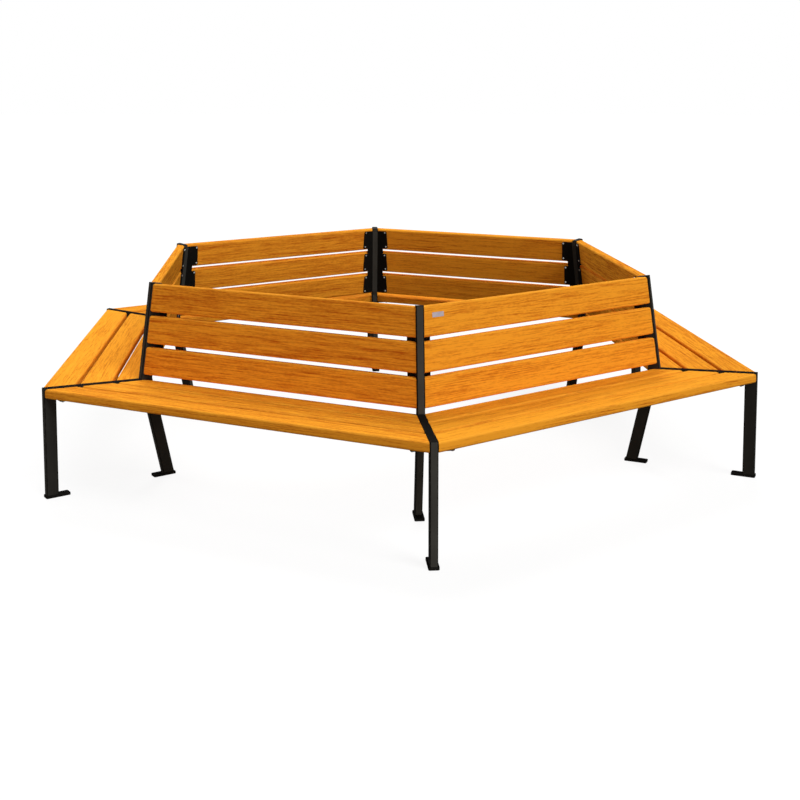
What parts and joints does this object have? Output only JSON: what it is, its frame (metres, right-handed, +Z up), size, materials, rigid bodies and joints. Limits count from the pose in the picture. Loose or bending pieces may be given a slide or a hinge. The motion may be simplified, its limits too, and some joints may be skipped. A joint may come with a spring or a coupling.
{
  "type": "tree bench",
  "caption": "Hexagonal bench that stands round a tree: slatted timber seats and reclined slatted backs facing outwards, on black welded tube frames at the corners.",
  "frame": {"origin": "centre of the hexagon on the ground, on the undersides of the foot plates", "axes": "+Z up, -Y towards the first corner frame, +X to the right of someone who faces that corner from outside"},
  "size_m": [3.0074, 3.4542, 0.8403],
  "materials": {
    "stained_wood": "golden brown stain with a satin oil finish",
    "black_steel": "black powder coat, satin",
    "black_plastic": "black moulded plastic",
    "zinc_screws": "bright zinc plated",
    "blank_metal": "brushed, blank"
  },
  "bodies": {
    "root": {"frame_1": "black_steel", "back_plate_1": "black_steel", "seat_plates_1": "black_steel", "seat_board_1_outer": "stained_wood", "seat_board_1_middle": "stained_wood", "seat_board_1_inner": "stained_wood", "back_board_1_lower": "stained_wood", "back_board_1_middle": "stained_wood", "back_board_1_upper": "stained_wood", "frame_2": "black_steel", "back_plate_2": "black_steel", "seat_plates_2": "black_steel", "seat_board_2_outer": "stained_wood", "seat_board_2_middle": "stained_wood", "seat_board_2_inner": "stained_wood", "back_board_2_lower": "stained_wood", "back_board_2_middle": "stained_wood", "back_board_2_upper": "stained_wood", "frame_3": "black_steel", "back_plate_3": "black_steel", "seat_plates_3": "black_steel", "seat_board_3_outer": "stained_wood", "seat_board_3_middle": "stained_wood", "seat_board_3_inner": "stained_wood", "back_board_3_lower": "stained_wood", "back_board_3_middle": "stained_wood", "back_board_3_upper": "stained_wood", "frame_4": "black_steel", "back_plate_4": "black_steel", "seat_plates_4": "black_steel", "seat_board_4_outer": "stained_wood", "seat_board_4_middle": "stained_wood", "seat_board_4_inner": "stained_wood", "back_board_4_lower": "stained_wood", "back_board_4_middle": "stained_wood", "back_board_4_upper": "stained_wood", "frame_5": "black_steel", "back_plate_5": "black_steel", "seat_plates_5": "black_steel", "seat_board_5_outer": "stained_wood", "seat_board_5_middle": "stained_wood", "seat_board_5_inner": "stained_wood", "back_board_5_lower": "stained_wood", "back_board_5_middle": "stained_wood", "back_board_5_upper": "stained_wood", "frame_6": "black_steel", "back_plate_6": "black_steel", "seat_plates_6": "black_steel", "seat_board_6_outer": "stained_wood", "seat_board_6_middle": "stained_wood", "seat_board_6_inner": "stained_wood", "back_board_6_lower": "stained_wood", "back_board_6_middle": "stained_wood", "back_board_6_upper": "stained_wood", "outer_foot_plates": "black_steel", "inner_foot_plates": "black_steel", "post_caps": "black_plastic", "back_screws": "zinc_screws", "seat_screws": "zinc_screws", "blank_plate": "blank_metal"}
  },
  "joints": []
}
